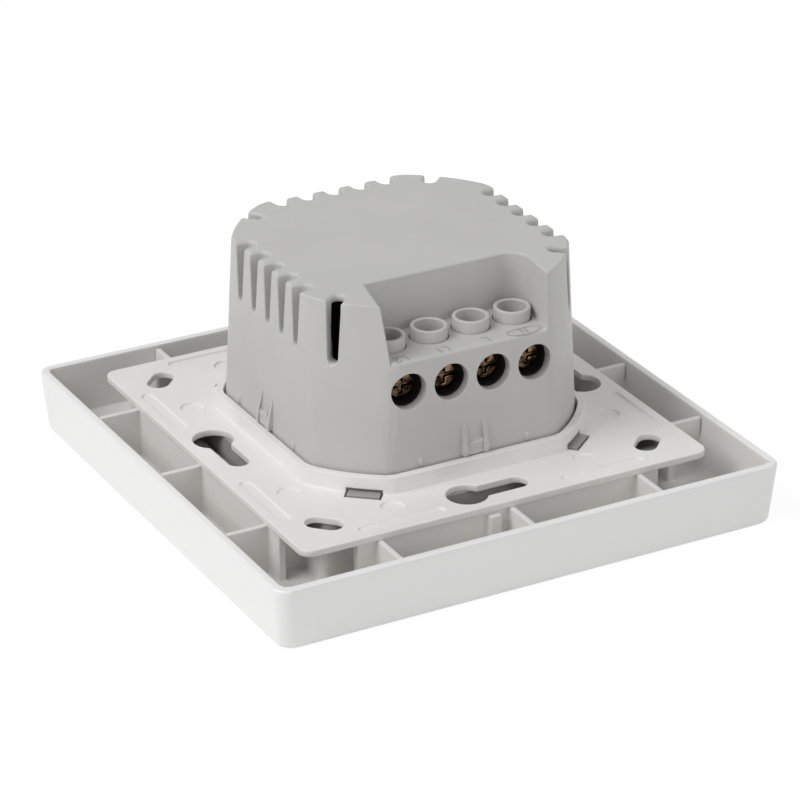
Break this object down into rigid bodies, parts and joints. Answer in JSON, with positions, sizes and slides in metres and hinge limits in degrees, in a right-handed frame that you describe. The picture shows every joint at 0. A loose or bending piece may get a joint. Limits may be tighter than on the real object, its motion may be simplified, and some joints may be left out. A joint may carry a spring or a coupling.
{
  "type": "smart light switch",
  "caption": "Flush-mounted two-gang wall light switch with radio module: cover frame, mounting plate, vented rear housing, wire clamps and two push rockers.",
  "frame": {"origin": "middle of the cover frame's front face, on the surface that the switch lies on face down", "axes": "+Z from the front face into the wall, -Y towards the wiring terminals, +X completes the right-handed set"},
  "size_m": [0.086, 0.086, 0.0404],
  "materials": {
    "frame_white": "satin",
    "plate_white": "satin",
    "housing_grey": "fine matt",
    "guide_grey": "satin",
    "button_white": "gloss",
    "lens": "clear",
    "steel": "plain",
    "black_plastic": "matt",
    "bronze": "dark passivated",
    "brass": "plain",
    "copper": "plain",
    "green_board": "solder mask",
    "blue_board": "solder mask",
    "relay_blue": "satin",
    "ferrite": "matt",
    "black_sleeve": "gloss sleeve",
    "yellow_box": "satin",
    "resistor_green": "matt",
    "gold_pins": "plated",
    "sheet": "thin film",
    "plunger_grey": "satin",
    "tin": "tinned",
    "led": "clear"
  },
  "bodies": {
    "housing": {"cover_frame": "frame_white", "mounting_plate": "plate_white", "rear_housing": "housing_grey", "front_shell": "housing_grey", "pivot_pin_left": "steel", "pivot_pin_right": "steel", "terminal_block": "black_plastic", "wire_guide": "guide_grey", "contact_1": "copper", "contact_2": "copper", "contact_3": "copper", "contact_4": "copper", "power_board": "green_board", "relay_left": "black_plastic", "relay_right": "black_plastic", "transformer": "ferrite", "reservoir_capacitor": "black_sleeve", "filter_capacitor": "yellow_box", "varistor": "relay_blue", "fuse_resistor": "resistor_green", "rectifier": "black_plastic", "header_socket": "black_plastic", "pin_header": "gold_pins", "insulation_sheet": "sheet", "logic_board": "blue_board", "push_switch_left": "black_plastic", "push_switch_right": "black_plastic", "radio_shield": "tin", "antenna": "gold_pins", "led_left": "led", "led_right": "led", "case_screws": "steel"},
    "rocker_left": {"button_left": "button_white", "lens_left": "lens"},
    "plunger_left_body": {"plunger_left": "plunger_grey"},
    "rocker_right": {"button_right": "button_white", "lens_right": "lens"},
    "plunger_right_body": {"plunger_right": "plunger_grey"},
    "screw_1": {"terminal_screw_1": "bronze"},
    "cage_1": {"clamp_cage_1": "brass"},
    "screw_2": {"terminal_screw_2": "bronze"},
    "cage_2": {"clamp_cage_2": "brass"},
    "screw_3": {"terminal_screw_3": "bronze"},
    "cage_3": {"clamp_cage_3": "brass"},
    "screw_4": {"terminal_screw_4": "bronze"},
    "cage_4": {"clamp_cage_4": "brass"}
  },
  "joints": [
    {"name": "rocker_left_press", "type": "hinge", "parent": "housing", "child": "rocker_left", "pos_m": [-0.0139, 0.0242, 0.0039], "axis": [-1, 0, 0], "range_deg": [0, 1], "stiffness_Nm_per_rad": 4, "springref_deg": -0.57},
    {"name": "plunger_left_travel", "type": "slide", "parent": "housing", "child": "plunger_left_body", "axis": [0, 0, 1], "range_m": [0, 0.0005]},
    {"name": "rocker_right_press", "type": "hinge", "parent": "housing", "child": "rocker_right", "pos_m": [0.0139, 0.0242, 0.0039], "axis": [-1, 0, 0], "range_deg": [0, 1], "stiffness_Nm_per_rad": 4, "springref_deg": -0.57},
    {"name": "plunger_right_travel", "type": "slide", "parent": "housing", "child": "plunger_right_body", "axis": [0, 0, 1], "range_m": [0, 0.0005]},
    {"name": "screw_1_turn", "type": "hinge", "parent": "housing", "child": "screw_1", "pos_m": [-0.01095, -0.019, 0.0265], "axis": [0, 1, 0], "range_deg": [0, 720]},
    {"name": "cage_1_slide", "type": "slide", "parent": "housing", "child": "cage_1", "axis": [0, -1, 0], "range_m": [0, 0.001]},
    {"name": "screw_2_turn", "type": "hinge", "parent": "housing", "child": "screw_2", "pos_m": [-0.00375, -0.019, 0.0265], "axis": [0, 1, 0], "range_deg": [0, 720]},
    {"name": "cage_2_slide", "type": "slide", "parent": "housing", "child": "cage_2", "axis": [0, -1, 0], "range_m": [0, 0.001]},
    {"name": "screw_3_turn", "type": "hinge", "parent": "housing", "child": "screw_3", "pos_m": [0.00345, -0.019, 0.0265], "axis": [0, 1, 0], "range_deg": [0, 720]},
    {"name": "cage_3_slide", "type": "slide", "parent": "housing", "child": "cage_3", "axis": [0, -1, 0], "range_m": [0, 0.001]},
    {"name": "screw_4_turn", "type": "hinge", "parent": "housing", "child": "screw_4", "pos_m": [0.01065, -0.019, 0.0265], "axis": [0, 1, 0], "range_deg": [0, 720]},
    {"name": "cage_4_slide", "type": "slide", "parent": "housing", "child": "cage_4", "axis": [0, -1, 0], "range_m": [0, 0.001]}
  ],
  "couplings": [
    {"joint": "plunger_left_travel", "follows": "rocker_left_press", "m_per_rad": 0.0262},
    {"joint": "plunger_right_travel", "follows": "rocker_right_press", "m_per_rad": 0.0262},
    {"joint": "screw_1_turn", "follows": "cage_1_slide", "rad_per_m": 12566},
    {"joint": "screw_2_turn", "follows": "cage_2_slide", "rad_per_m": 12566},
    {"joint": "screw_3_turn", "follows": "cage_3_slide", "rad_per_m": 12566},
    {"joint": "screw_4_turn", "follows": "cage_4_slide", "rad_per_m": 12566}
  ]
}
